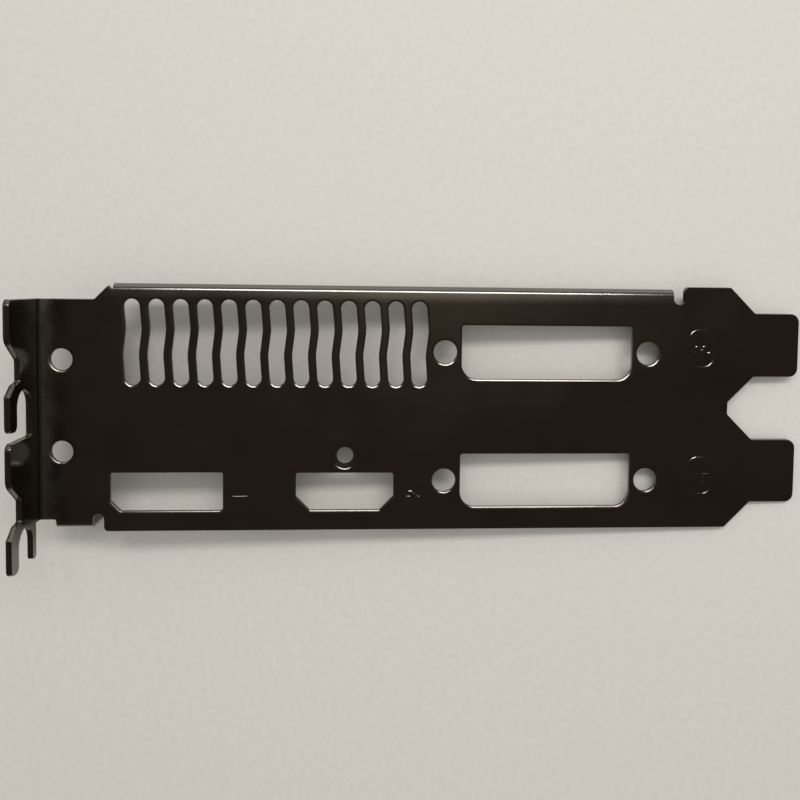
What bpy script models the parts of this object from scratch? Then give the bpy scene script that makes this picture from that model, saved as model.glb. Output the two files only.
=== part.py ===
"""Double-width graphics card bracket: one steel sheet, stamped flat and then folded.

The blank is drawn flat with all its openings, given its thickness, and its points are then
carried round three folds. A countersink is cut last.

Lengths here are in millimetres, and the finished mesh is scaled to metres once.
X runs from the foot to the prong tips, Y across the plate, and Z out of the plate's outer face.
"""

import math

import bmesh
import bpy
from mathutils import Matrix, Vector
from mathutils.geometry import delaunay_2d_cdt

MM = 0.001
INSIDE_WITH_HOLES = 2

# Sheet
sheet = 0.86
bend_radius = 0.2
bend_steps = 6
facet_depth = 0.006

# Plate and prongs
overall_length = 120.02
slot_pitch = 20.32
slot_gap = 1.9
prong_length = 7.27
prong_width = 10.19
prong_corner = 1.4
valley_corner = 0.3

# Shoulder between the foot and the long-edge flange
shoulder_drop = 2.89
shoulder_start = 9.1
shoulder_rise = 2.1

# Foot, folded towards the outer side: heights from the outer face
finger_height = 1.6
finger_width = 1.4
finger_tip_flat = 0.1
notch_width = 5.0
notch_fillet = 0.3
hook_width = 2.57
hook_corner = 1.0
hook_rise = 1.7
waist_drop = 3.57
waist_fillet = 0.6
foot_corner = 1.0
chassis_tab_shoulder = 2.0

# Foot: lengths across the plate, as shares of the slot pitch
chassis_tab_share = 0.2928
waist_slant_share = 0.1378
waist_share = 0.1526
notch_offset_share = 0.064
hook_share = 0.2805
hook_slant_share = 0.0861

# Board tab, folded back
board_tab_start = 3.15
board_tab_width = 5.6
board_tab_inset = 0.55
board_tab_depth = 9.0
board_tab_corner = 1.2
board_tab_setback = 0.27
board_tab_fillet = 0.25
board_relief_width = 1.6
board_relief_depth = 2.7
board_relief_corner = 0.7
board_hole = 2.7
board_hole_depth = 6.0

# Long-edge flange, folded back
flange_lead = 0.65
flange_end_gap = 9.22
flange_inset = 0.42
flange_depth = 4.5
flange_corner = 1.0
flange_relief_width = 1.65
flange_relief_depth = 2.8
flange_relief_corner = 0.8

# Pair of holes beside the foot
side_hole = 3.35
side_hole_x = 4.18
side_hole_rise = 0.15
side_hole_pitch = 14.18

# Openings: places along the plate, as shares of its length from the board relief to the prongs
wide_port_from = 0.0103
wide_port_to = 0.1845
d_from = 0.5614
d_to = 0.8388

# Short port: its sides, as shares of the room between the wide port and the nearest screw hole
short_port_from = 0.3457
short_port_to = 0.8126

# Two stacked D-shaped openings, with a screw hole at each end
d_height = 8.45
d_y = 7.8
d_top_corner = 0.4
d_bottom_corner = 2.4
d_screw_hole = 3.7
d_screw_gap = 2.6

# Two small port openings
port_bottom = 3.14
wide_port_height = 6.0
wide_port_chamfer = 1.52
wide_port_corner = 0.35
wide_port_round = 0.5
short_port_height = 5.9
short_port_chamfer = 2.2
short_port_corner = 0.4

# Countersunk hole above the short port
lock_hole = 2.6
lock_hole_rise = 2.71
countersink = 4.15
countersink_depth = 0.45

# Wavy vents, between the flange's start and the upper D-shaped opening's screw hole
vent_count = 13
vent_web = 1.27
vent_inset = 1.72
vent_end_gap = 1.02
vent_length = 13.26
vent_rise = 0.1

# Each vent's middle line: three straight runs, which turn at a crest and at a trough
vent_crest_drop = 4.55
vent_run = 3.85
vent_swing = 0.23
vent_top_sway = -0.16
vent_bottom_sway = 0.11
vent_turn_radius = 6.0
vent_tip_flat = 0.048

slot_width = slot_pitch - slot_gap
plate_width = slot_pitch + slot_width
prong_start = overall_length - prong_length
prong_step = (slot_width - prong_width) / 2
valley_x = prong_start - prong_step

neutral_radius = bend_radius + sheet / 2
bend_length = neutral_radius * math.pi / 2
outer_radius = bend_radius + sheet

foot_line = outer_radius
foot_top = plate_width - shoulder_drop
finger_corner = (finger_width - finger_tip_flat) / 2
notch_near = finger_height + finger_width
notch_far = notch_near + notch_width
foot_height = notch_far + hook_width
waist_height = foot_height - waist_drop
chassis_tab_length = chassis_tab_share * slot_pitch
waist_slant = waist_slant_share * slot_pitch
waist_length = waist_share * slot_pitch
notch_offset = notch_offset_share * slot_pitch
hook_length = hook_share * slot_pitch
hook_slant = hook_slant_share * slot_pitch
hook_tip = foot_top - chassis_tab_length - waist_slant - waist_length - notch_offset - hook_length

board_tab_end = board_tab_start + board_tab_width
board_tab_line = board_tab_inset + outer_radius
board_relief_end = board_tab_end + board_relief_width
foot_bottom = board_tab_line + board_tab_setback

flange_start = shoulder_start + shoulder_rise + flange_lead
flange_end = valley_x - flange_end_gap
flange_line = plate_width - flange_inset - outer_radius
lowest = max(board_tab_depth, flange_depth)


def arc_steps(radius, angle):
    """Straight steps along an arc whose chords stay within facet_depth of it."""
    step = 2 * math.acos(1 - min(facet_depth / radius, 1))
    return max(2, math.ceil(abs(angle) / step))


def rounded(corners):
    """Closed outline from corners (x, y, radius); a radius of 0 leaves the corner sharp."""
    outline = []
    for index, (x, y, radius) in enumerate(corners):
        point = Vector((x, y))
        if radius == 0:
            outline.append(point)
            continue
        back = (Vector(corners[index - 1][:2]) - point).normalized()
        ahead = (Vector(corners[(index + 1) % len(corners)][:2]) - point).normalized()
        half = back.angle(ahead) / 2
        centre = point + (back + ahead).normalized() * radius / math.sin(half)
        spoke = point + back * radius / math.tan(half) - centre
        turn = math.pi - 2 * half
        if back.cross(ahead) > 0:
            turn = -turn
        steps = arc_steps(radius, turn)
        for step in range(steps + 1):
            outline.append(centre + Matrix.Rotation(turn * step / steps, 2) @ spoke)
    return [p for i, p in enumerate(outline) if (p - outline[i - 1]).length > facet_depth / 10]


def circle(x, y, diameter):
    """Closed round outline."""
    sides = arc_steps(diameter / 2, 2 * math.pi)
    angles = [2 * math.pi * side / sides for side in range(sides)]
    return [Vector((x + math.cos(a) * diameter / 2, y + math.sin(a) * diameter / 2)) for a in angles]


def foot_x(height):
    """Where a point of the folded foot lies on the flat blank."""
    return foot_line - bend_length - (height - bend_radius)


def folded_back(depth):
    """How far beyond its fold line a point of a flange or tab lies on the flat blank."""
    return bend_length + depth - outer_radius


def along(share):
    """Place along the plate of a share of its length between the board relief and the prongs."""
    return board_relief_end + share * (valley_x - board_relief_end)


def screw_hole_side():
    """Place along the plate of the D-shaped openings' first screw holes, at their side to the foot."""
    return along(d_from) - d_screw_gap - d_screw_hole / 2


def short_port_place(share):
    """Place along the plate of a share of the room that the short port has."""
    start = along(wide_port_to)
    return start + share * (screw_hole_side() - start)


def prong_corners(base):
    """Right-hand end of one slot's width, going up from its lower edge."""
    low = base + prong_step
    high = low + prong_width
    return [
        (prong_start, low, 0),
        (overall_length, low, prong_corner),
        (overall_length, high, prong_corner),
        (prong_start, high, 0),
    ]


def hook_corners(top):
    """One slot's share of the foot, going down from its top edge and round its screw notch."""
    far = foot_x(foot_height)
    hook_inner = foot_x(notch_far)
    waist_top = top - chassis_tab_length - waist_slant
    waist_bottom = waist_top - waist_length
    notch_top = waist_bottom - notch_offset
    tip = notch_top - hook_length
    return [
        (far, top, foot_corner),
        (far, top - chassis_tab_length, chassis_tab_shoulder),
        (foot_x(waist_height), waist_top, waist_fillet),
        (foot_x(waist_height), waist_bottom, notch_fillet),
        (foot_x(waist_height + hook_rise), waist_bottom - notch_fillet, notch_fillet),
        (far, waist_bottom - hook_slant, 0),
        (far, tip, hook_corner),
        (hook_inner, tip, hook_corner),
        (hook_inner, notch_top, notch_width / 2),
        (foot_x(notch_near), notch_top, notch_width / 2),
    ]


def blank_outline():
    """Outer edge of the flat blank, anticlockwise from the board tab."""
    board_tip = board_tab_line - folded_back(board_tab_depth)
    flange_tip = flange_line + folded_back(flange_depth)
    flange_relief_end = flange_end + flange_relief_width
    flange_relief_y = plate_width - flange_relief_depth
    finger_far = foot_x(finger_height)
    return rounded(
        [
            (board_tab_start, board_tip, board_tab_corner),
            (board_tab_end, board_tip, board_tab_corner),
            (board_tab_end, board_relief_depth, board_relief_width / 2),
            (board_relief_end, board_relief_depth, board_relief_width / 2),
            (board_relief_end, 0, board_relief_corner),
            (valley_x, 0, 0),
            *prong_corners(0),
            (valley_x, slot_width, valley_corner),
            (valley_x, slot_pitch, valley_corner),
            *prong_corners(slot_pitch),
            (valley_x, plate_width, 0),
            (flange_relief_end, plate_width, flange_relief_corner),
            (flange_relief_end, flange_relief_y, flange_relief_width / 2),
            (flange_end, flange_relief_y, flange_relief_width / 2),
            (flange_end, flange_tip, flange_corner),
            (flange_start, flange_tip, flange_corner),
            (flange_start, flange_line, 0),
            (shoulder_start + shoulder_rise, foot_top + shoulder_rise, 0),
            (shoulder_start, foot_top, 0),
            *hook_corners(foot_top),
            (foot_x(notch_near), foot_top - slot_pitch, notch_fillet),
            *hook_corners(foot_top - slot_pitch),
            (foot_x(notch_near), hook_tip - slot_pitch, finger_corner),
            (finger_far, hook_tip - slot_pitch, finger_corner),
            (finger_far, foot_bottom, 0),
            (board_tab_start, foot_bottom, board_tab_fillet),
        ]
    )


def vent(x, width):
    """Upright slot with round ends, whose middle line sways to and fro in three straight runs."""
    top = foot_top + vent_rise
    crest = foot_top - vent_crest_drop
    end_radius = (width - vent_tip_flat) / 2
    turns = [
        (top - vent_length, vent_bottom_sway, end_radius),
        (crest - vent_run, -vent_swing, vent_turn_radius),
        (crest, vent_swing, vent_turn_radius),
        (top, vent_top_sway, end_radius),
    ]
    right = [(x + sway + width / 2, y, radius) for y, sway, radius in turns]
    left = [(x + sway - width / 2, y, radius) for y, sway, radius in reversed(turns)]
    return rounded(right + left)


def d_opening(y):
    """Connector opening with two tight corners above and two wide ones below."""
    left = along(d_from)
    right = along(d_to)
    low = y - d_height / 2
    high = y + d_height / 2
    return rounded(
        [
            (left, low, d_bottom_corner),
            (right, low, d_bottom_corner),
            (right, high, d_top_corner),
            (left, high, d_top_corner),
        ]
    )


def wide_port():
    """Port opening with its lower corner towards the foot cut off."""
    left = along(wide_port_from)
    right = along(wide_port_to)
    top = port_bottom + wide_port_height
    return rounded(
        [
            (left, port_bottom + wide_port_chamfer, wide_port_corner),
            (left + wide_port_chamfer, port_bottom, wide_port_corner),
            (right, port_bottom, wide_port_round),
            (right, top, wide_port_corner),
            (left, top, wide_port_corner),
        ]
    )


def short_port():
    """Port opening with both lower corners cut off."""
    left = short_port_place(short_port_from)
    right = short_port_place(short_port_to)
    top = port_bottom + short_port_height
    return rounded(
        [
            (left, port_bottom + short_port_chamfer, short_port_corner),
            (left + short_port_chamfer, port_bottom, short_port_corner),
            (right - short_port_chamfer, port_bottom, short_port_corner),
            (right, port_bottom + short_port_chamfer, short_port_corner),
            (right, top, short_port_corner),
            (left, top, short_port_corner),
        ]
    )


def vents():
    """Row of vents, evenly spread over the room that they have."""
    start = flange_start + vent_inset
    end = screw_hole_side() - vent_end_gap
    pitch = (end - start + vent_web) / vent_count
    width = pitch - vent_web
    return [vent(start + width / 2 + index * pitch, width) for index in range(vent_count)]


def lock_hole_place():
    """Middle of the countersunk hole."""
    x = short_port_place((short_port_from + short_port_to) / 2)
    return x, port_bottom + short_port_height + lock_hole_rise


def openings():
    """Every hole that is punched through the flat blank."""
    found = vents()
    for y in (d_y, d_y + slot_pitch):
        found.append(d_opening(y))
        found.append(circle(along(d_from) - d_screw_gap, y, d_screw_hole))
        found.append(circle(along(d_to) + d_screw_gap, y, d_screw_hole))
    for side in (-1, 1):
        side_hole_y = plate_width / 2 + side_hole_rise + side * side_hole_pitch / 2
        found.append(circle(side_hole_x, side_hole_y, side_hole))
    found.append(wide_port())
    found.append(short_port())
    found.append(circle(*lock_hole_place(), lock_hole))
    board_hole_x = board_tab_start + board_tab_width / 2
    found.append(circle(board_hole_x, board_tab_line - folded_back(board_hole_depth), board_hole))
    return found


def blank_mesh():
    """Flat blank as an open bmesh, with its outer face at z = 0."""
    points = []
    rings = []
    for outline in [blank_outline(), *openings()]:
        rings.append(range(len(points), len(points) + len(outline)))
        points.extend(outline)
    places, _, triangles, *_ = delaunay_2d_cdt(points, [], rings, INSIDE_WITH_HOLES, facet_depth / 100)
    bm = bmesh.new()
    corners = [bm.verts.new((*place, 0)) for place in places]
    faces = [bm.faces.new([corners[i] for i in triangle]) for triangle in triangles]
    grown = bmesh.ops.extrude_face_region(bm, geom=faces)["geom"]
    inner = [item for item in grown if isinstance(item, bmesh.types.BMVert)]
    bmesh.ops.translate(bm, verts=inner, vec=(0, 0, -sheet))
    return bm


def cut_across(bm, start, direction):
    """Gives the sheet an edge line at each step of a fold that starts at this point."""
    for step in range(bend_steps + 1):
        everything = [*bm.verts, *bm.edges, *bm.faces]
        place = start + direction * bend_length * step / bend_steps
        bmesh.ops.bisect_plane(bm, geom=everything, plane_co=place, plane_no=direction, dist=facet_depth / 10)


def fold(bm, start, direction, up, first=-math.inf, last=math.inf):
    """Folds what lies beyond the fold line by a right angle, up or down, between two places on X."""
    slack = facet_depth / 10
    for vertex in bm.verts:
        beyond = (vertex.co - start).dot(direction)
        if beyond <= slack or not first - slack <= vertex.co.x <= last + slack:
            continue
        angle = min(beyond, bend_length) / neutral_radius
        radius = neutral_radius - up * (vertex.co.z + sheet / 2)
        reach = radius * math.sin(angle)
        rise = neutral_radius - radius * math.cos(angle) + max(beyond - bend_length, 0)
        vertex.co += direction * (reach - beyond)
        vertex.co.z = up * rise - sheet / 2


def folded_mesh():
    """Blank with its three folds made."""
    bm = blank_mesh()
    foot = (Vector((foot_line, 0, 0)), Vector((-1, 0, 0)))
    flange = (Vector((0, flange_line, 0)), Vector((0, 1, 0)))
    board_tab = (Vector((0, board_tab_line, 0)), Vector((0, -1, 0)))
    for line in (foot, flange, board_tab):
        cut_across(bm, *line)
    fold(bm, *flange, -1, flange_start, flange_end)
    fold(bm, *board_tab, -1, board_tab_start, board_tab_end)
    fold(bm, *foot, 1)
    bmesh.ops.recalc_face_normals(bm, faces=bm.faces)
    mesh = bpy.data.meshes.new("bracket")
    bm.to_mesh(mesh)
    bm.free()
    return mesh


def countersink_cutter():
    """Cone, wider than the countersink above the sheet and narrower than the hole below it."""
    spread = (countersink - lock_hole) / 2 / countersink_depth
    overshoot = sheet / 2
    bm = bmesh.new()
    bmesh.ops.create_cone(
        bm,
        cap_ends=True,
        segments=arc_steps(lock_hole / 2, 2 * math.pi),
        radius1=lock_hole / 2 - overshoot * spread / 2,
        radius2=countersink / 2 + overshoot * spread,
        depth=countersink_depth + overshoot * 1.5,
    )
    bmesh.ops.translate(bm, verts=bm.verts, vec=(0, 0, (overshoot / 2 - countersink_depth) / 2))
    mesh = bpy.data.meshes.new("countersink")
    bm.to_mesh(mesh)
    bm.free()
    return mesh


def nickel():
    """Dark nickel plating."""
    material = bpy.data.materials.new("dark_nickel")
    material.use_nodes = True
    surface = material.node_tree.nodes["Principled BSDF"]
    surface.inputs["Base Color"].default_value = (0.09, 0.085, 0.08, 1)
    surface.inputs["Metallic"].default_value = 1
    surface.inputs["Roughness"].default_value = 0.38
    return material


def add(name, mesh, place=(0, 0, 0)):
    """Object in metres, placed with the part's origin under the middle of its bounds."""
    middle = Vector((overall_length / 2, (plate_width + hook_tip - slot_pitch) / 2, -lowest))
    mesh.transform(Matrix.Scale(MM, 4))
    item = bpy.data.objects.new(name, mesh)
    item.location = (Vector(place) - middle) * MM
    bpy.context.scene.collection.objects.link(item)
    return item


def build():
    for item in list(bpy.data.objects):
        bpy.data.objects.remove(item)
    bracket = add("bracket", folded_mesh())
    bracket.data.materials.append(nickel())
    bracket.data.shade_smooth()
    bracket.data.set_sharp_from_angle(angle=math.radians(35))
    cone = add("countersink_cutter", countersink_cutter(), (*lock_hole_place(), 0))
    cone.hide_render = True
    cone.display_type = "WIRE"
    cut = bracket.modifiers.new("countersink", "BOOLEAN")
    cut.operation = "DIFFERENCE"
    cut.solver = "EXACT"
    cut.object = cone


build()
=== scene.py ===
"""Looks of the folded graphics card bracket: a finer sheet in place of the CAD solid, on a pale floor.

The sheet is drawn flat in millimetres, with rolled punched edges, and then folded as the CAD is.
In the flat drawing X runs from the foot to the prong tips, Y across the plate, and Z out of its face.
"""

import math

import bmesh
import bpy
from mathutils import Matrix, Vector
from mathutils.geometry import delaunay_2d_cdt

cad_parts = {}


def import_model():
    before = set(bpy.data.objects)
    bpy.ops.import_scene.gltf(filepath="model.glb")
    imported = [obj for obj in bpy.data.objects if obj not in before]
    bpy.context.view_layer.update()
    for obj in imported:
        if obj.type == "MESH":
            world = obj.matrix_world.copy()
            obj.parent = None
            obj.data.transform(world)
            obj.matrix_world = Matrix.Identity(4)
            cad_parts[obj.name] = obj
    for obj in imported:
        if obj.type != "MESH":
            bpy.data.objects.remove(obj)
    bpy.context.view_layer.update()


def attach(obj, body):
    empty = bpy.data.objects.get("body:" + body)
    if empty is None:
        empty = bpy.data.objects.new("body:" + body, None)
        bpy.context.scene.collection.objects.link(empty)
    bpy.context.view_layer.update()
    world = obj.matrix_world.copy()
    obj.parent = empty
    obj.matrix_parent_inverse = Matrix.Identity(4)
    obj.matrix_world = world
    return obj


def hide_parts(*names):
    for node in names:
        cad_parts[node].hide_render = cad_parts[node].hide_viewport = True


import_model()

MM = 0.001
INSIDE_WITH_HOLES = 2

# Sheet and its punched edges
SHEET = 0.86
BEND_RADIUS = 0.2
BEND_STEPS = 14
FACET_DEPTH = 0.0015
PUNCH_ROLL = ((0.015, 8), (0.025, 14), (0.1, 18), (0.1, 22), (0.035, 28), (0.015, 42), (0.01, 65))
BLANK_ROLL = ((0.03, 5), (0.04, 9), (0.05, 13), (0.05, 17), (0.03, 23), (0.015, 40), (0.005, 65))
WALL_START = 0.03
SMOOTH_DEPTH = 0.5
TEAR = 0.05
BURR = 0.03
GUARD = 0.05
WALL_LEAST = 0.1
SHARP_ANGLE = 30
TINY = 0.3

# Plate and prongs
OVERALL_LENGTH = 120.02
SLOT_PITCH = 20.32
SLOT_WIDTH = 18.42
PRONG_LENGTH = 7.27
PRONG_WIDTH = 10.19
PRONG_CORNER = 1.4
VALLEY_CORNER = 0.35
SHOULDER_DROP = 2.89
SHOULDER_START = 9.1
SHOULDER_RISE = 2.1

# Foot: heights from the outer face, and lengths across the plate
FINGER_HEIGHT = 1.6
FINGER_WIDTH = 1.4
FINGER_CORNER = 0.65
NOTCH_WIDTH = 5.0
NOTCH_FILLET = 0.3
HOOK_WIDTH = 2.57
HOOK_CORNER = 1.0
HOOK_RISE = 1.7
HOOK_SLANT = 1.75
HOOK_LENGTH = 5.7
WAIST_DROP = 3.57
WAIST_FILLET = 0.6
WAIST_SLANT = 2.8
WAIST_LENGTH = 3.1
NOTCH_OFFSET = 1.3
FOOT_CORNER = 1.0
CHASSIS_TAB_LENGTH = 5.95
CHASSIS_TAB_SHOULDER = 2.0

# Board tab
BOARD_TAB_START = 3.15
BOARD_TAB_WIDTH = 5.6
BOARD_TAB_INSET = 0.55
BOARD_TAB_DEPTH = 9.0
BOARD_TAB_CORNER = 1.2
BOARD_TAB_SETBACK = 0.27
BOARD_TAB_FILLET = 0.25
BOARD_RELIEF_WIDTH = 1.6
BOARD_RELIEF_DEPTH = 2.7
BOARD_RELIEF_CORNER = 0.7
BOARD_HOLE = 2.7
BOARD_HOLE_DEPTH = 6.0

# Long-edge flange
FLANGE_START = 11.85
FLANGE_END = 99.415
FLANGE_INSET = 0.42
FLANGE_DEPTH = 4.5
FLANGE_CORNER = 1.0
FLANGE_RELIEF_WIDTH = 1.65
FLANGE_RELIEF_DEPTH = 2.8
FLANGE_RELIEF_CORNER = 0.8

# The plate already leans a little just before the flange's fold
EASE_SLOPE = 0.122
EASE_RISE = 1.1
EASE_LENGTH = 1.6
EASE_TAIL = 0.4
EASE_FADE = 1.0
EASE_LINES = (0.0, 0.28, 0.55, 0.83, 1.1, 1.35)

# Round holes: middle and diameter
SIDE_HOLES = ((4.18, 12.43, 3.35), (4.18, 26.61, 3.35))
SCREW_HOLES_X = (62.927, 95.391)
SCREW_HOLE = 3.7
LOCK_HOLE = (47.36, 11.75, 2.6)
COUNTERSINK = 4.15
COUNTERSINK_DEPTH = 0.45
COUNTERSINK_RIM = ((0.12, 0.0), (0.08, -0.01), (0.0, -0.04), (-0.05, -0.065))
COUNTERSINK_STEP = 0.17
COUNTERSINK_RISE = 0.05

# Connector openings
D_LEFT = 65.527
D_RIGHT = 92.791
D_HEIGHT = 8.45
D_Y = 7.8
D_TOP_CORNER = 0.4
D_BOTTOM_CORNER = 2.4
PORT_BOTTOM = 3.14
WIDE_PORT_LEFT = 11.362
WIDE_PORT_RIGHT = 28.484
WIDE_PORT_TOP = 9.14
WIDE_PORT_CHAMFER = 1.52
WIDE_PORT_CORNER = 0.35
WIDE_PORT_ROUND = 0.5
SHORT_PORT_LEFT = 39.751
SHORT_PORT_RIGHT = 54.969
SHORT_PORT_TOP = 9.04
SHORT_PORT_CHAMFER = 2.2
SHORT_PORT_CORNER = 0.4

# Vents: each has a middle line of three straight runs, which turn at a crest and at a trough
VENT_COUNT = 13
VENT_PITCH = 3.6736
VENT_FIRST_X = 14.772
VENT_WIDTH = 2.4036
VENT_LENGTH = 13.26
VENT_RISE = 0.1
VENT_CREST_DROP = 4.55
VENT_RUN = 3.85
VENT_SWING = 0.23
VENT_TOP_SWAY = -0.16
VENT_BOTTOM_SWAY = 0.11
VENT_TURN_RADIUS = 6.0
VENT_TIP_FLAT = 0.048

# Plain numbers stamped beside the openings: number, middle and height; two stand in a stamped frame
NUMBERS = (("1", 31.15, 5.6, 2.3), ("2", 57.95, 6.0, 2.3), ("3", 104.0, 29.1, 3.0), ("4", 104.3, 8.6, 3.0))
NUMBER_SLOPE = ((0.13, 0.0), (0.115, 0.0), (0.11, -0.0015), (0.012, -0.046))
NUMBER_DEPTH = 0.1
FONT_HEIGHT = 0.73
FONT_STEPS = 3
FONT_WELD = 0.01
FRAMED = ("3", "4")
FRAME_WIDTH = 4.1
FRAME_HEIGHT = 5.9
FRAME_CORNER = 1.6
FRAME_LINE = 0.06

PLATE_WIDTH = SLOT_PITCH + SLOT_WIDTH
PRONG_START = OVERALL_LENGTH - PRONG_LENGTH
PRONG_STEP = (SLOT_WIDTH - PRONG_WIDTH) / 2
VALLEY_X = PRONG_START - PRONG_STEP
NEUTRAL_RADIUS = BEND_RADIUS + SHEET / 2
BEND_LENGTH = NEUTRAL_RADIUS * math.pi / 2
OUTER_RADIUS = BEND_RADIUS + SHEET
FOOT_LINE = OUTER_RADIUS
FOOT_TOP = PLATE_WIDTH - SHOULDER_DROP
NOTCH_NEAR = FINGER_HEIGHT + FINGER_WIDTH
NOTCH_FAR = NOTCH_NEAR + NOTCH_WIDTH
FOOT_HEIGHT = NOTCH_FAR + HOOK_WIDTH
WAIST_HEIGHT = FOOT_HEIGHT - WAIST_DROP
HOOK_TIP = FOOT_TOP - CHASSIS_TAB_LENGTH - WAIST_SLANT - WAIST_LENGTH - NOTCH_OFFSET - HOOK_LENGTH
BOARD_TAB_END = BOARD_TAB_START + BOARD_TAB_WIDTH
BOARD_TAB_LINE = BOARD_TAB_INSET + OUTER_RADIUS
BOARD_RELIEF_END = BOARD_TAB_END + BOARD_RELIEF_WIDTH
FOOT_BOTTOM = BOARD_TAB_LINE + BOARD_TAB_SETBACK
FLANGE_LINE = PLATE_WIDTH - FLANGE_INSET - OUTER_RADIUS
MIDDLE = Vector((OVERALL_LENGTH / 2, (PLATE_WIDTH + HOOK_TIP - SLOT_PITCH) / 2, -BOARD_TAB_DEPTH))


def arc_steps(radius, angle):
    """Straight steps along an arc whose chords stay close to it."""
    step = 2 * math.acos(1 - min(FACET_DEPTH / radius, 1))
    return max(3, math.ceil(abs(angle) / step))


def rounded(corners):
    """Closed outline from corners (x, y, radius); a radius of 0 leaves the corner sharp."""
    outline = []
    for index, (x, y, radius) in enumerate(corners):
        point = Vector((x, y))
        if radius == 0:
            outline.append(point)
            continue
        back = (Vector(corners[index - 1][:2]) - point).normalized()
        ahead = (Vector(corners[(index + 1) % len(corners)][:2]) - point).normalized()
        half = back.angle(ahead) / 2
        centre = point + (back + ahead).normalized() * radius / math.sin(half)
        spoke = point + back * radius / math.tan(half) - centre
        turn = math.pi - 2 * half
        if back.cross(ahead) > 0:
            turn = -turn
        steps = arc_steps(radius, turn)
        for step in range(steps + 1):
            outline.append(centre + Matrix.Rotation(turn * step / steps, 2) @ spoke)
    return [p for i, p in enumerate(outline) if (p - outline[i - 1]).length > FACET_DEPTH]


def circle(x, y, diameter):
    """Closed round outline."""
    sides = arc_steps(diameter / 2, 2 * math.pi)
    angles = [2 * math.pi * side / sides for side in range(sides)]
    return [Vector((x + math.cos(a) * diameter / 2, y + math.sin(a) * diameter / 2)) for a in angles]


def foot_x(height):
    """Where a point of the folded foot lies on the flat sheet."""
    return FOOT_LINE - BEND_LENGTH - (height - BEND_RADIUS)


def folded_back(depth):
    """How far beyond its fold line a point of a flange or tab lies on the flat sheet."""
    return BEND_LENGTH + depth - OUTER_RADIUS


def prong_corners(base):
    """Prong end of one slot's width, going up from its lower edge."""
    low = base + PRONG_STEP
    high = low + PRONG_WIDTH
    return [
        (PRONG_START, low, TINY),
        (OVERALL_LENGTH, low, PRONG_CORNER),
        (OVERALL_LENGTH, high, PRONG_CORNER),
        (PRONG_START, high, TINY),
    ]


def hook_corners(top):
    """One slot's share of the foot, going down from its top edge and round its screw notch."""
    far = foot_x(FOOT_HEIGHT)
    hook_inner = foot_x(NOTCH_FAR)
    waist_top = top - CHASSIS_TAB_LENGTH - WAIST_SLANT
    waist_bottom = waist_top - WAIST_LENGTH
    notch_top = waist_bottom - NOTCH_OFFSET
    tip = notch_top - HOOK_LENGTH
    return [
        (far, top, FOOT_CORNER),
        (far, top - CHASSIS_TAB_LENGTH, CHASSIS_TAB_SHOULDER),
        (foot_x(WAIST_HEIGHT), waist_top, WAIST_FILLET),
        (foot_x(WAIST_HEIGHT), waist_bottom, NOTCH_FILLET),
        (foot_x(WAIST_HEIGHT + HOOK_RISE), waist_bottom - NOTCH_FILLET, NOTCH_FILLET),
        (far, waist_bottom - HOOK_SLANT, TINY),
        (far, tip, HOOK_CORNER),
        (hook_inner, tip, HOOK_CORNER),
        (hook_inner, notch_top, NOTCH_WIDTH / 2),
        (foot_x(NOTCH_NEAR), notch_top, NOTCH_WIDTH / 2),
    ]


def blank_outline():
    """Outer edge of the flat sheet, anticlockwise from the board tab."""
    board_tip = BOARD_TAB_LINE - folded_back(BOARD_TAB_DEPTH)
    flange_tip = FLANGE_LINE + folded_back(FLANGE_DEPTH)
    flange_relief_end = FLANGE_END + FLANGE_RELIEF_WIDTH
    flange_relief_y = PLATE_WIDTH - FLANGE_RELIEF_DEPTH
    finger_far = foot_x(FINGER_HEIGHT)
    lower_tip = HOOK_TIP - SLOT_PITCH
    return rounded(
        [
            (BOARD_TAB_START, board_tip, BOARD_TAB_CORNER),
            (BOARD_TAB_END, board_tip, BOARD_TAB_CORNER),
            (BOARD_TAB_END, BOARD_RELIEF_DEPTH, BOARD_RELIEF_WIDTH / 2),
            (BOARD_RELIEF_END, BOARD_RELIEF_DEPTH, BOARD_RELIEF_WIDTH / 2),
            (BOARD_RELIEF_END, 0, BOARD_RELIEF_CORNER),
            (VALLEY_X, 0, TINY),
            *prong_corners(0),
            (VALLEY_X, SLOT_WIDTH, VALLEY_CORNER),
            (VALLEY_X, SLOT_PITCH, VALLEY_CORNER),
            *prong_corners(SLOT_PITCH),
            (VALLEY_X, PLATE_WIDTH, TINY),
            (flange_relief_end, PLATE_WIDTH, FLANGE_RELIEF_CORNER),
            (flange_relief_end, flange_relief_y, FLANGE_RELIEF_WIDTH / 2),
            (FLANGE_END, flange_relief_y, FLANGE_RELIEF_WIDTH / 2),
            (FLANGE_END, flange_tip, FLANGE_CORNER),
            (FLANGE_START, flange_tip, FLANGE_CORNER),
            (FLANGE_START, FLANGE_LINE, 0),
            (SHOULDER_START + SHOULDER_RISE, FOOT_TOP + SHOULDER_RISE, 0),
            (SHOULDER_START, FOOT_TOP, TINY),
            *hook_corners(FOOT_TOP),
            (foot_x(NOTCH_NEAR), FOOT_TOP - SLOT_PITCH, NOTCH_FILLET),
            *hook_corners(FOOT_TOP - SLOT_PITCH),
            (foot_x(NOTCH_NEAR), lower_tip, FINGER_CORNER),
            (finger_far, lower_tip, FINGER_CORNER),
            (finger_far, FOOT_BOTTOM, 0),
            (BOARD_TAB_START, FOOT_BOTTOM, BOARD_TAB_FILLET),
        ]
    )


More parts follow.
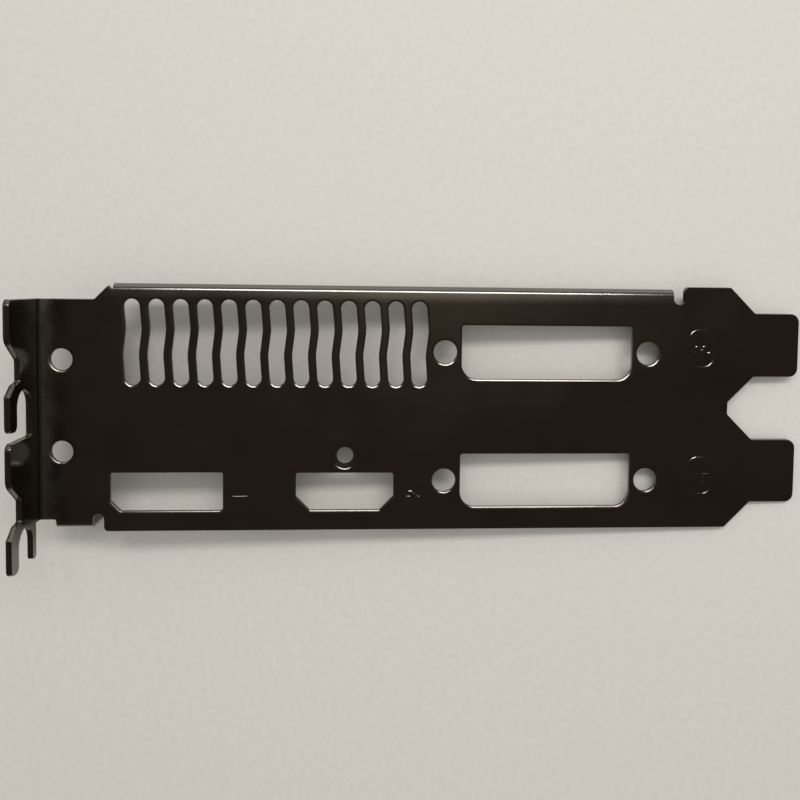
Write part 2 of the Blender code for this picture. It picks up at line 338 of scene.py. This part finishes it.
def vent(x):
    """Upright slot with round ends, whose middle line sways to and fro."""
    top = FOOT_TOP + VENT_RISE
    crest = FOOT_TOP - VENT_CREST_DROP
    end_radius = (VENT_WIDTH - VENT_TIP_FLAT) / 2
    turns = [
        (top - VENT_LENGTH, VENT_BOTTOM_SWAY, end_radius),
        (crest - VENT_RUN, -VENT_SWING, VENT_TURN_RADIUS),
        (crest, VENT_SWING, VENT_TURN_RADIUS),
        (top, VENT_TOP_SWAY, end_radius),
    ]
    right = [(x + sway + VENT_WIDTH / 2, y, radius) for y, sway, radius in turns]
    left = [(x + sway - VENT_WIDTH / 2, y, radius) for y, sway, radius in reversed(turns)]
    return rounded(right + left)


def d_opening(y):
    """Connector opening with two tight corners above and two wide ones below."""
    low = y - D_HEIGHT / 2
    high = y + D_HEIGHT / 2
    return rounded(
        [
            (D_LEFT, low, D_BOTTOM_CORNER),
            (D_RIGHT, low, D_BOTTOM_CORNER),
            (D_RIGHT, high, D_TOP_CORNER),
            (D_LEFT, high, D_TOP_CORNER),
        ]
    )


def wide_port():
    """Port opening with its lower corner towards the foot cut off."""
    return rounded(
        [
            (WIDE_PORT_LEFT, PORT_BOTTOM + WIDE_PORT_CHAMFER, WIDE_PORT_CORNER),
            (WIDE_PORT_LEFT + WIDE_PORT_CHAMFER, PORT_BOTTOM, WIDE_PORT_CORNER),
            (WIDE_PORT_RIGHT, PORT_BOTTOM, WIDE_PORT_ROUND),
            (WIDE_PORT_RIGHT, WIDE_PORT_TOP, WIDE_PORT_CORNER),
            (WIDE_PORT_LEFT, WIDE_PORT_TOP, WIDE_PORT_CORNER),
        ]
    )


def short_port():
    """Port opening with both lower corners cut off."""
    return rounded(
        [
            (SHORT_PORT_LEFT, PORT_BOTTOM + SHORT_PORT_CHAMFER, SHORT_PORT_CORNER),
            (SHORT_PORT_LEFT + SHORT_PORT_CHAMFER, PORT_BOTTOM, SHORT_PORT_CORNER),
            (SHORT_PORT_RIGHT - SHORT_PORT_CHAMFER, PORT_BOTTOM, SHORT_PORT_CORNER),
            (SHORT_PORT_RIGHT, PORT_BOTTOM + SHORT_PORT_CHAMFER, SHORT_PORT_CORNER),
            (SHORT_PORT_RIGHT, SHORT_PORT_TOP, SHORT_PORT_CORNER),
            (SHORT_PORT_LEFT, SHORT_PORT_TOP, SHORT_PORT_CORNER),
        ]
    )


def openings():
    """Every plain hole that is punched through the sheet."""
    found = [vent(VENT_FIRST_X + index * VENT_PITCH) for index in range(VENT_COUNT)]
    for y in (D_Y, D_Y + SLOT_PITCH):
        found.append(d_opening(y))
        found.extend(circle(x, y, SCREW_HOLE) for x in SCREW_HOLES_X)
    found.extend(circle(*hole) for hole in SIDE_HOLES)
    found.append(wide_port())
    found.append(short_port())
    board_hole_x = BOARD_TAB_START + BOARD_TAB_WIDTH / 2
    found.append(circle(board_hole_x, BOARD_TAB_LINE - folded_back(BOARD_HOLE_DEPTH), BOARD_HOLE))
    return found


def number_outlines(number, x, y, height):
    """Closed outlines of a plain number, turned to read along the plate's width."""
    text = bpy.data.curves.new("number", "FONT")
    text.body = number
    text.size = height / FONT_HEIGHT
    text.align_x = "CENTER"
    text.align_y = "CENTER"
    text.fill_mode = "NONE"
    text.resolution_u = FONT_STEPS
    item = bpy.data.objects.new("number", text)
    mesh = bpy.data.meshes.new_from_object(item)
    bpy.data.objects.remove(item)
    bpy.data.curves.remove(text)
    mesh.transform(Matrix.Rotation(math.pi / 2, 4, "Z"))
    bm = bmesh.new()
    bm.from_mesh(mesh)
    bpy.data.meshes.remove(mesh)
    bmesh.ops.remove_doubles(bm, verts=bm.verts, dist=FONT_WELD)
    found = []
    left = set(bm.verts)
    while left:
        first = min(left, key=lambda v: v.index)
        loop = [first]
        edge = first.link_edges[0]
        vert = edge.other_vert(first)
        while vert is not first:
            loop.append(vert)
            edge = next(e for e in vert.link_edges if e is not edge)
            vert = edge.other_vert(vert)
        left -= set(loop)
        found.append([v.co.xy for v in loop])
    bm.free()
    across, along = zip(*(point for loop in found for point in loop))
    shift = Vector((x - (min(across) + max(across)) / 2, y - (min(along) + max(along)) / 2))
    return [[point + shift for point in loop] for loop in found]


def number_frame(x, y):
    """Outer and inner outline of the fine groove round a number."""
    found = []
    for grown in (FRAME_LINE / 2, -FRAME_LINE / 2):
        wide = FRAME_WIDTH / 2 + grown
        tall = FRAME_HEIGHT / 2 + grown
        signs = ((-1, -1), (1, -1), (1, 1), (-1, 1))
        found.append(rounded([(x + i * wide, y + j * tall, FRAME_CORNER + grown) for i, j in signs]))
    return found


def punched_profile(roll):
    """Set-in and height of each ring of a hole's edge: rolled, smooth and torn, from the outer face in."""
    whole = sum(width for width, slope in roll)
    rings = [(whole + GUARD, 0), (whole, 0)]
    for width, slope in roll:
        distance, height = rings[-1]
        rings.append((max(distance - width, 0), height - width * math.tan(math.radians(slope))))
    rings[-1] = (0, rings[-1][1])
    torn = [(TEAR, BURR - SHEET), (TEAR + BURR, -SHEET), (TEAR + BURR + GUARD, -SHEET)]
    return [*rings, (0, rings[-1][1] - WALL_START), (0, -SMOOTH_DEPTH), *torn]


def blanked_profile():
    """The same for the sheet's outer edge, which is rolled on its inner face and torn at the outer one."""
    return [(distance, -SHEET - height) for distance, height in reversed(punched_profile(BLANK_ROLL))]


def countersink_profile():
    """The same for the countersunk hole: a rolled rim, a steep step, a nearly level floor and the bore."""
    wide = (COUNTERSINK - LOCK_HOLE[2]) / 2
    rim = [(wide + distance, height) for distance, height in COUNTERSINK_RIM]
    guard = (rim[0][0] + GUARD, 0)
    foot = (wide - COUNTERSINK_STEP, COUNTERSINK_RISE - COUNTERSINK_DEPTH)
    bore = [(0, -COUNTERSINK_DEPTH), (0, BURR - SHEET), (BURR, -SHEET), (BURR + GUARD, -SHEET)]
    return [guard, *rim, foot, *bore]


def number_profile():
    """The same for a stamped number, down to its floor."""
    return [*NUMBER_SLOPE, (0, -NUMBER_DEPTH)]


def area(outline):
    """Signed area, above 0 where the outline runs anticlockwise."""
    return sum(a.cross(b) for a, b in zip(outline, outline[1:] + outline[:1])) / 2


def set_in(outline, distance):
    """Outline moved by a distance to its left-hand side."""
    moved = []
    for index, point in enumerate(outline):
        back = (point - outline[index - 1]).normalized()
        ahead = (outline[(index + 1) % len(outline)] - point).normalized()
        first = Vector((-back.y, back.x))
        second = Vector((-ahead.y, ahead.x))
        moved.append(point + (first + second) * distance / (1 + first.dot(second)))
    return moved


def ringed(bm, outline, profile, solid_inside, edge_layer):
    """Wall of one outline: its rings of vertices, joined by faces; a deep strip is cut wall."""
    if (area(outline) > 0) != solid_inside:
        outline = outline[::-1]
    rings = []
    for step, (distance, height) in enumerate(profile):
        ring = [bm.verts.new((*place, height)) for place in set_in(outline, distance)]
        for vert in ring:
            vert[edge_layer] = 1.0 if 0 < step < len(profile) - 1 else 0.0
        rings.append(ring)
    count = len(outline)
    for step in range(len(rings) - 1):
        on_wall = profile[step][1] - profile[step + 1][1] > WALL_LEAST
        for i in range(count):
            j = (i + 1) % count
            face = bm.faces.new((rings[step][i], rings[step + 1][i], rings[step + 1][j], rings[step][j]))
            face.material_index = int(on_wall)
    return rings


def filled(bm, loops):
    """Flat faces between loops of vertices; a loop inside another is a hole."""
    verts = [vert for loop in loops for vert in loop]
    spans = []
    for loop in loops:
        start = spans[-1].stop if spans else 0
        spans.append(range(start, start + len(loop)))
    result = delaunay_2d_cdt([v.co.xy for v in verts], [], spans, INSIDE_WITH_HOLES, FACET_DEPTH / 100)
    sources = result[3]
    for triangle in result[2]:
        bm.faces.new([verts[sources[i][0]] for i in triangle])


def cut_across(bm, start, direction, more=()):
    """Gives the sheet an edge line at each step of a fold that starts at this point."""
    steps = [BEND_LENGTH * step / BEND_STEPS for step in range(BEND_STEPS + 1)]
    for distance in (*more, -GUARD, *steps, BEND_LENGTH + GUARD):
        parts = [*bm.verts, *bm.edges, *bm.faces]
        place = start + direction * distance
        bmesh.ops.bisect_plane(bm, geom=parts, plane_co=place, plane_no=direction, dist=FACET_DEPTH / 2)


def fold(bm, start, direction, up, layers, first=-math.inf, last=math.inf):
    """Folds what lies beyond the fold line by a right angle, up or down, between two places on X."""
    for vertex in bm.verts:
        beyond = (vertex.co - start).dot(direction)
        if beyond <= FACET_DEPTH / 2 or not first - FACET_DEPTH <= vertex.co.x <= last + FACET_DEPTH:
            continue
        angle = min(beyond, BEND_LENGTH) / NEUTRAL_RADIUS
        radius = NEUTRAL_RADIUS - up * (vertex.co.z + SHEET / 2)
        reach = radius * math.sin(angle)
        rise = NEUTRAL_RADIUS - radius * math.cos(angle) + max(beyond - BEND_LENGTH, 0)
        if beyond < BEND_LENGTH - FACET_DEPTH:
            vertex[layers[radius > NEUTRAL_RADIUS]] = 1.0
        vertex.co += direction * (reach - beyond)
        vertex.co.z = up * rise - SHEET / 2


def ease_flange(bm, flat_layer):
    """Lets the plate lean, little by little, towards the flange's fold."""
    for vertex in bm.verts:
        place = vertex[flat_layer]
        near = place.y - FLANGE_LINE + EASE_LENGTH
        share = min(max((place.x - FLANGE_START) / EASE_FADE + 1, 0), 1)
        if near <= 0 or place.x > FLANGE_END + FACET_DEPTH:
            continue
        rise = min(near, EASE_RISE)
        level = min(near, EASE_LENGTH) - rise
        tail = min(max(near - EASE_LENGTH, 0), EASE_TAIL)
        drop = rise**2 / (2 * EASE_RISE) + level + tail - tail**2 / (2 * EASE_TAIL)
        vertex.co.z -= EASE_SLOPE * drop * share**2 * (3 - 2 * share)


def sheet_mesh():
    """Whole bracket, folded, in metres in the frame's place."""
    bm = bmesh.new()
    edge_layer = bm.verts.layers.float.new("edge")
    bend_layers = (bm.verts.layers.float.new("hollow"), bm.verts.layers.float.new("crown"))
    flat_layer = bm.verts.layers.float_vector.new("flat")
    walls = [ringed(bm, blank_outline(), blanked_profile(), True, edge_layer)]
    walls.extend(ringed(bm, hole, punched_profile(PUNCH_ROLL), False, edge_layer) for hole in openings())
    walls.append(ringed(bm, circle(*LOCK_HOLE), countersink_profile(), False, edge_layer))
    tops = [rings[0] for rings in walls]
    stamps = [number_outlines(*number) for number in NUMBERS]
    stamps.extend(number_frame(x, y) for number, x, y, height in NUMBERS if number in FRAMED)
    for loops in stamps:
        floors = []
        largest = max(loops, key=lambda loop: abs(area(loop)))
        for loop in loops:
            rings = ringed(bm, loop, number_profile(), loop is not largest, edge_layer)
            tops.append(rings[0])
            floors.append(rings[-1])
        filled(bm, floors)
    filled(bm, tops)
    filled(bm, [rings[-1] for rings in walls])
    foot = (Vector((FOOT_LINE, 0, 0)), Vector((-1, 0, 0)))
    flange = (Vector((0, FLANGE_LINE, 0)), Vector((0, 1, 0)))
    board_tab = (Vector((0, BOARD_TAB_LINE, 0)), Vector((0, -1, 0)))
    cut_across(bm, *foot)
    cut_across(bm, *flange, [line - EASE_LENGTH for line in EASE_LINES])
    cut_across(bm, *board_tab)
    for vert in bm.verts:
        vert[flat_layer] = vert.co
    fold(bm, *flange, -1, bend_layers, FLANGE_START, FLANGE_END)
    fold(bm, *board_tab, -1, bend_layers, BOARD_TAB_START, BOARD_TAB_END)
    fold(bm, *foot, 1, bend_layers)
    ease_flange(bm, flat_layer)
    bmesh.ops.recalc_face_normals(bm, faces=bm.faces)
    bmesh.ops.translate(bm, verts=bm.verts, vec=-MIDDLE)
    bmesh.ops.scale(bm, verts=bm.verts, vec=(MM, MM, MM))
    mesh = bpy.data.meshes.new("bracket_sheet")
    bm.to_mesh(mesh)
    bm.free()
    return mesh


# Colours of the plating, of its grain, of rubbed edges, of fold crowns lightened partly as a painted
# highlight, of the painted reflection beside the foot's fold, and the painted shade of the folds' hollow
# sides
NICKEL = ((0.155, 0.143, 0.129, 1), (0.18, 0.167, 0.153, 1))
GRAIN_COLOUR = (0.145, 0.133, 0.12, 1)
RUBBED_AND_SHEEN_COLOUR = (0.24, 0.228, 0.212, 1)
HOLLOW_SHADE_COLOUR = (0.05, 0.043, 0.038, 1)
ROUGHNESS = (0.15, 0.21)
HOLLOW_ROUGHNESS = 0.5

# Painted reflection beside the foot's fold, a lighter and rougher band: its start and end along the plate,
# and its height in the sheet
SHEEN_START = (0.9, 1.3)
SHEEN_END = (1.3, 3.9)
SHEEN_WAVER = 0.7
SHEEN_HEIGHT = (-0.4, -0.3)
SHEEN_LIGHTER = 0.7
SHEEN_ROUGHER = 0.32

# Colours of a punched wall: its smooth band and its torn one, which meet within this of the smooth depth
CUT_SMOOTH = ((0.12, 0.11, 0.1, 1), (0.17, 0.158, 0.143, 1))
CUT_TORN = ((0.035, 0.031, 0.028, 1), (0.08, 0.072, 0.065, 1))
CUT_WANDER = 0.08
CUT_ROUGHNESS = (0.2, 0.55)


class Nodes:
    """Short way to fill a node tree."""

    def __init__(self, tree):
        self.tree = tree

    def link(self, source, target):
        if isinstance(source, bpy.types.NodeSocket):
            self.tree.links.new(source, target)
        else:
            target.default_value = source

    def node(self, kind, inputs=None, **settings):
        made = self.tree.nodes.new(kind)
        for key, value in settings.items():
            setattr(made, key, value)
        for key, value in (inputs or {}).items():
            self.link(value, made.inputs[key])
        return made

    def math(self, operation, *values):
        return self.node("ShaderNodeMath", dict(enumerate(values)), operation=operation).outputs[0]

    def attribute(self, name):
        return self.node("ShaderNodeAttribute", attribute_name=name)

    def noise(self, vector, stretch, detail=2.0, roughness=0.5):
        """Noise, about 0 to 1, whose spots have the sizes 1 / stretch."""
        scaled = self.node("ShaderNodeVectorMath", {0: vector, 1: stretch}, operation="MULTIPLY")
        inputs = {"Vector": scaled.outputs[0], "Scale": 1.0, "Detail": detail, "Roughness": roughness}
        return self.node("ShaderNodeTexNoise", inputs).outputs["Fac"]

    def ramp(self, value, low, high, to_low=0.0, to_high=1.0):
        inputs = {0: value, 1: low, 2: high, 3: to_low, 4: to_high}
        return self.node("ShaderNodeMapRange", inputs).outputs[0]

    def blend(self, factor, first, second):
        made = self.node("ShaderNodeMix", data_type="RGBA")
        self.link(factor, made.inputs[0])
        self.link(first, made.inputs[6])
        self.link(second, made.inputs[7])
        return made.outputs[2]

    def stops(self, value, colours):
        """Colour that runs through these stops as the value grows."""
        made = self.node("ShaderNodeValToRGB", {0: value})
        elements = made.color_ramp.elements
        while len(elements) < len(colours):
            elements.new(1.0)
        for element, (place, colour) in zip(elements, colours):
            element.position = place
            element.color = colour
        return made.outputs[0]


def new_material(name):
    """Material with its nodes and its shader's sockets."""
    made = bpy.data.materials.new(name)
    made.use_nodes = True
    return made, Nodes(made.node_tree), made.node_tree.nodes["Principled BSDF"].inputs


def painted_fold_sheen(n, flat, waves):
    """Share of the painted reflection, a lighter and rougher band on the outer face beside the foot's fold.
    """
    place = n.node("ShaderNodeSeparateXYZ", {0: flat}).outputs
    wavering = n.math("ADD", place["X"], n.ramp(waves, 0.3, 0.7, -SHEEN_WAVER, SHEEN_WAVER))
    band = n.math("MULTIPLY", n.ramp(place["X"], *SHEEN_START), n.ramp(wavering, *SHEEN_END, 1.0, 0.0))
    outside = n.math("MULTIPLY", band, n.ramp(place["Z"], *SHEEN_HEIGHT))
    pits = n.noise(flat, (5.0, 5.0, 5.0), 4.0, 0.75)
    return n.math("MULTIPLY", outside, n.ramp(pits, 0.35, 0.65, 0.25, 1.0))


def plating():
    """Dark nickel with a fine grain across the plate, lighter rubbed edges, fold crowns lightened partly as
    a painted highlight, a painted reflection in a band beside the foot's fold, and painted shade in the
    folds' hollows.
    """
    made, n, surface = new_material("dark_nickel_plating")
    flat = n.attribute("flat").outputs["Vector"]
    edge = n.attribute("edge").outputs["Fac"]
    crown = n.attribute("crown").outputs["Fac"]
    hollow = n.attribute("hollow").outputs["Fac"]
    grain = n.noise(flat, (7.0, 0.5, 7.0), 3.0)
    clouds = n.noise(flat, (0.09, 0.11, 0.1), 3.0)
    specks = n.noise(flat, (6.0, 6.0, 6.0), 4.0, 0.65)
    waves = n.noise(flat, (0.35, 0.25, 0.3), 2.0)
    fold_sheen = painted_fold_sheen(n, flat, waves)
    dark = n.blend(n.ramp(clouds, 0.35, 0.65), *NICKEL)
    grained = n.blend(n.ramp(grain, 0.3, 0.7, 0.0, 0.5), dark, GRAIN_COLOUR)
    rubbed_edge = n.math("MULTIPLY", edge, n.ramp(specks, 0.35, 0.7, 0.0, 0.5))
    # Fold crowns: rubbed plating, lightened further as a painted highlight on the bends.
    rubbed_fold_and_highlight = n.math("MULTIPLY", crown, n.ramp(specks, 0.3, 0.7, 0.4, 0.9))
    rubbed_and_highlight = n.math("MAXIMUM", rubbed_edge, rubbed_fold_and_highlight)
    # The band beside the foot's fold is lightened here as a painted reflection; it is also made rougher
    # below.
    lighter = n.math("MAXIMUM", rubbed_and_highlight, n.math("MULTIPLY", fold_sheen, SHEEN_LIGHTER))
    worn_and_sheen = n.blend(lighter, grained, RUBBED_AND_SHEEN_COLOUR)
    # Painted shade: the hollow sides of the folds are darkened, and made rougher below.
    n.link(n.blend(hollow, worn_and_sheen, HOLLOW_SHADE_COLOUR), surface["Base Color"])
    rough = n.math("ADD", n.ramp(specks, 0.25, 0.75, *ROUGHNESS), n.ramp(clouds, 0.3, 0.7, -0.015, 0.015))
    rough = n.math("ADD", rough, n.math("MULTIPLY", fold_sheen, SHEEN_ROUGHER))
    n.link(n.math("MAXIMUM", rough, n.math("MULTIPLY", hollow, HOLLOW_ROUGHNESS)), surface["Roughness"])
    surface["Metallic"].default_value = 1.0
    fine = n.math("ADD", n.math("MULTIPLY", grain, 0.4), n.math("MULTIPLY", specks, 0.6))
    height = n.math("ADD", fine, n.math("MULTIPLY", waves, 3.0))
    bump = n.node("ShaderNodeBump", {"Strength": 0.1, "Distance": 0.00005, "Height": height})
    n.link(bump.outputs[0], surface["Normal"])
    return made


def cut_wall():
    """Punched wall under the same plating: a smooth band, then a rougher torn one."""
    made, n, surface = new_material("dark_nickel_cut")
    flat = n.attribute("flat").outputs["Vector"]
    height = n.node("ShaderNodeSeparateXYZ", {0: flat}).outputs["Z"]
    wander = n.noise(flat, (1.3, 1.3, 0.0), 2.0)
    border = n.ramp(wander, 0.3, 0.7, -SMOOTH_DEPTH - CUT_WANDER, -SMOOTH_DEPTH + CUT_WANDER)
    torn = n.ramp(n.math("SUBTRACT", border, height), -0.02, 0.05)
    lines = n.noise(flat, (14.0, 14.0, 0.6), 2.0)
    pits = n.noise(flat, (9.0, 9.0, 9.0), 4.0, 0.7)
    smooth = n.blend(n.ramp(lines, 0.3, 0.7), *CUT_SMOOTH)
    rough = n.blend(n.ramp(pits, 0.3, 0.7), *CUT_TORN)
    n.link(n.blend(torn, smooth, rough), surface["Base Color"])
    n.link(n.ramp(torn, 0.0, 1.0, *CUT_ROUGHNESS), surface["Roughness"])
    surface["Metallic"].default_value = 1.0
    relief = n.math("ADD", n.math("MULTIPLY", lines, 0.5), n.math("MULTIPLY", pits, torn))
    bump = n.node("ShaderNodeBump", {"Strength": 0.3, "Distance": 0.00004, "Height": relief})
    n.link(bump.outputs[0], surface["Normal"])
    return made


def bracket():
    """The sheet that stands for the CAD solid."""
    piece = bpy.data.objects.new("bracket_sheet", sheet_mesh())
    bpy.context.scene.collection.objects.link(piece)
    piece.data.materials.append(plating())
    piece.data.materials.append(cut_wall())
    piece.data.shade_smooth()
    piece.data.set_sharp_from_angle(angle=math.radians(SHARP_ANGLE))
    weighted = piece.modifiers.new("weighted_normals", "WEIGHTED_NORMAL")
    weighted.keep_sharp = True
    weighted.weight = 100
    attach(piece, "root")
    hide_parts("bracket")


# Floor under the three points that the bracket rests on, in the row frame
REST_TAB = Vector((-51.3, -16.3, 0.0)) * MM
REST_PRONG = Vector((60.0, -12.2, 8.14)) * MM
REST_FLANGE = Vector((39.4, 20.57, 4.33)) * MM
FLOOR_SIZE = 8.0
FLOOR_COLOUR = (0.62, 0.6, 0.56, 1)
FLOOR_MOTTLE = 1.06
MOTTLES_PER_METRE = 900.0

# Studio: what lights dull surfaces, and what the camera and metal see of it, by height above the horizon
SOFT_LIGHT = ((0.0, (0.2, 0.198, 0.195, 1)), (0.5, (0.41, 0.406, 0.398, 1)), (1.0, (0.96, 0.95, 0.925, 1)))
SOFT_LEAN = 0.6
ROOM = (
    (0.0, (1.0, 0.99, 0.96, 1)),
    (0.26, (0.8, 0.78, 0.75, 1)),
    (0.42, (0.28, 0.26, 0.24, 1)),
    (0.6, (0.11, 0.09, 0.076, 1)),
    (0.85, (0.072, 0.047, 0.033, 1)),
)
ROOM_LEAN = 0.6

# Warm patch of the ceiling, by direction: its middle and fall to the sides, its start, and its height
GLOW_COLOUR = (0.42, 0.37, 0.28, 1)
GLOW_MIDDLE = 0.11
GLOW_FALL = (0.04, 0.19)
GLOW_START = (-0.12, 0.2)
GLOW_HEIGHT = (0.5, 0.75)

# Soft lamp beyond the flange, in metres and watts
LAMP_PLACE = (0.012, 0.17, 0.29)
LAMP_SIZE = (0.25, 0.058)
LAMP_WATTS = 0.52
LAMP_COLOUR = (1.0, 0.98, 0.94)

# Camera at the photograph's place, in the row frame, with its turns in degrees
CAMERA_PLACE = Vector((-12.18, 20.608, 133.511)) * MM
CAMERA_TURNS = (-2.9844, -3.5995, 0.6844)
LENS = 36.11
LENS_SHIFT = -0.0906


def floor():
    """Plain pale floor, tilted to the bracket as it really lies."""
    normal = (REST_PRONG - REST_TAB).cross(REST_FLANGE - REST_TAB).normalized()
    bm = bmesh.new()
    bmesh.ops.create_grid(bm, x_segments=1, y_segments=1, size=FLOOR_SIZE / 2)
    mesh = bpy.data.meshes.new("floor")
    bm.to_mesh(mesh)
    bm.free()
    item = bpy.data.objects.new("floor", mesh)
    item.matrix_world = Matrix.Translation(REST_TAB) @ normal.to_track_quat("Z", "Y").to_matrix().to_4x4()
    bpy.context.scene.collection.objects.link(item)
    made, n, surface = new_material("floor_foam")
    place = n.node("ShaderNodeTexCoord").outputs["Object"]
    mottle = n.noise(place, (MOTTLES_PER_METRE,) * 3, 3.0)
    pale = tuple(FLOOR_MOTTLE * part for part in FLOOR_COLOUR[:3]) + (1,)
    n.link(n.blend(n.ramp(mottle, 0.3, 0.7), FLOOR_COLOUR, pale), surface["Base Color"])
    surface["Roughness"].default_value = 0.85
    surface["Specular IOR Level"].default_value = 0.1
    mesh.materials.append(made)


def lamp():
    """Soft oblong lamp that looks at the bracket."""
    light = bpy.data.lights.new("key", "AREA")
    light.shape = "RECTANGLE"
    light.size, light.size_y = LAMP_SIZE
    light.energy = LAMP_WATTS
    light.color = LAMP_COLOUR
    item = bpy.data.objects.new("key", light)
    item.location = LAMP_PLACE
    item.rotation_mode = "QUATERNION"
    item.rotation_quaternion = (-Vector(LAMP_PLACE)).to_track_quat("-Z", "Y")
    item.visible_camera = False
    bpy.context.scene.collection.objects.link(item)


def world():
    """Soft light from above; seen or mirrored, a room that is pale at the horizon and dark overhead."""
    made = bpy.data.worlds.new("studio")
    made.use_nodes = True
    n = Nodes(made.node_tree)
    direction = n.node("ShaderNodeTexCoord").outputs["Generated"]
    sideways, lampwards, height = n.node("ShaderNodeSeparateXYZ", {0: direction}).outputs
    leaning = n.ramp(n.math("MULTIPLY_ADD", lampwards, -ROOM_LEAN, height), -ROOM_LEAN, 1.0)
    aside = n.math("ABSOLUTE", n.math("SUBTRACT", sideways, GLOW_MIDDLE))
    overhead = n.math("MULTIPLY", n.ramp(lampwards, *GLOW_START), n.ramp(height, *GLOW_HEIGHT))
    glow = n.math("MULTIPLY", n.ramp(aside, *GLOW_FALL, 1.0, 0.0), overhead)
    room = n.blend(glow, n.stops(leaning, ROOM), GLOW_COLOUR)
    path = n.node("ShaderNodeLightPath").outputs
    seen = n.math("ADD", path["Is Camera Ray"], path["Is Glossy Ray"])
    seen = n.math("ADD", seen, path["Is Transmission Ray"])
    background = made.node_tree.nodes["Background"].inputs
    n.link(n.blend(seen, n.stops(height, SOFT_LIGHT), room), background["Color"])
    dull_lean = n.math("MULTIPLY", n.math("SUBTRACT", 1.0, seen), lampwards)
    n.link(n.math("MULTIPLY_ADD", dull_lean, SOFT_LEAN, 1.0), background["Strength"])
    bpy.context.scene.world = made


def camera():
    """Camera that repeats the photograph's view."""
    data = bpy.data.cameras.new("camera")
    data.sensor_width = 36.0
    data.lens = LENS
    data.shift_y = LENS_SHIFT
    data.clip_start = 0.005
    data.clip_end = 20.0
    item = bpy.data.objects.new("camera", data)
    item.location = CAMERA_PLACE
    item.rotation_euler = [math.radians(angle) for angle in CAMERA_TURNS]
    bpy.context.scene.collection.objects.link(item)
    bpy.context.scene.camera = item


camera()
bracket()
floor()
world()
lamp()
bpy.context.scene.view_settings.view_transform = "Standard"
